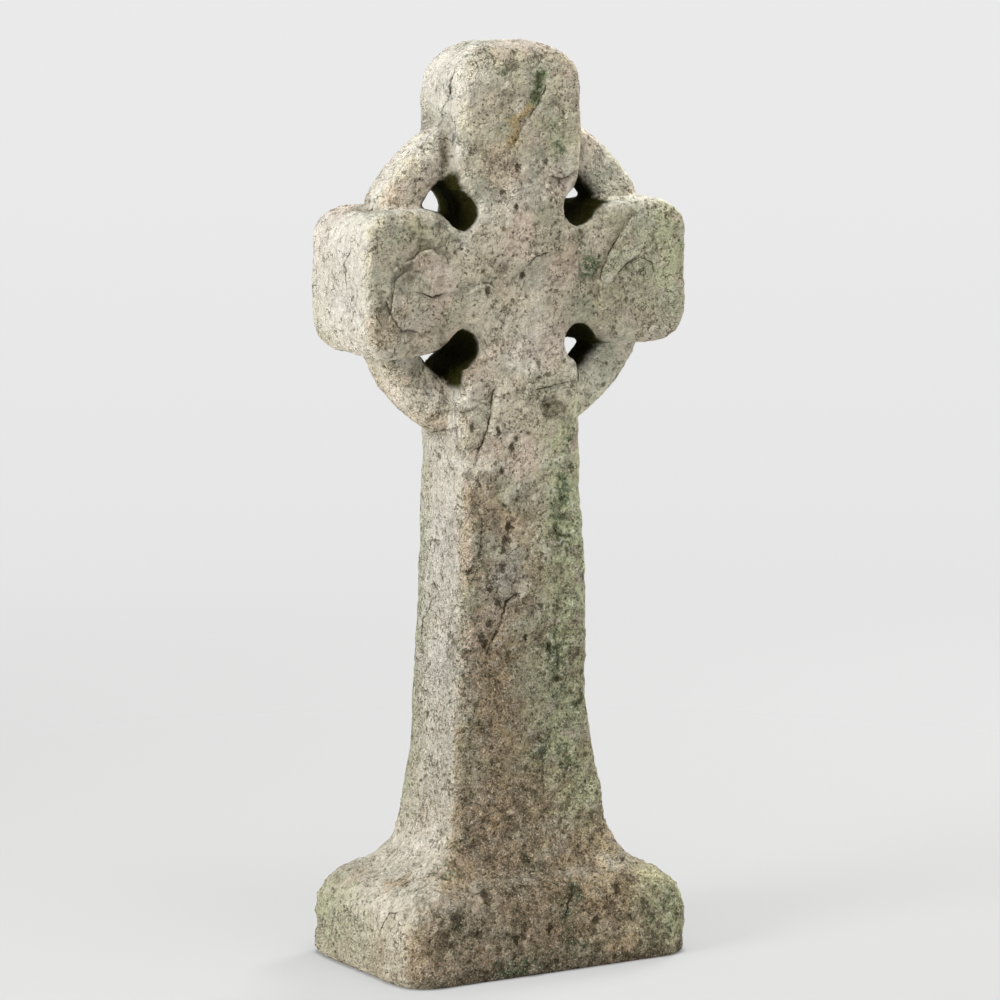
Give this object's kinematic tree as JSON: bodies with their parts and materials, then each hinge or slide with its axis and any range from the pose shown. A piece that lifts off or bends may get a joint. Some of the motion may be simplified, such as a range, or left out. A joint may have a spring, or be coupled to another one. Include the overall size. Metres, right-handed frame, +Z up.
{
  "type": "celtic cross gravestone",
  "caption": "Small weathered Celtic cross headstone carved from one stone: spread base, tapering shaft, three broad arms and a ring with four openings.",
  "frame": {"origin": "on the ground, under the middle of the stone", "axes": "+Z up the shaft, X along the side arms, -Y out of the front face"},
  "size_m": [0.486, 0.284, 1.2],
  "materials": {
    "stone": "rough weathered grey-beige stone with moss, lichen and small pits"
  },
  "bodies": {
    "root": {"celtic_cross": "stone"}
  },
  "joints": []
}
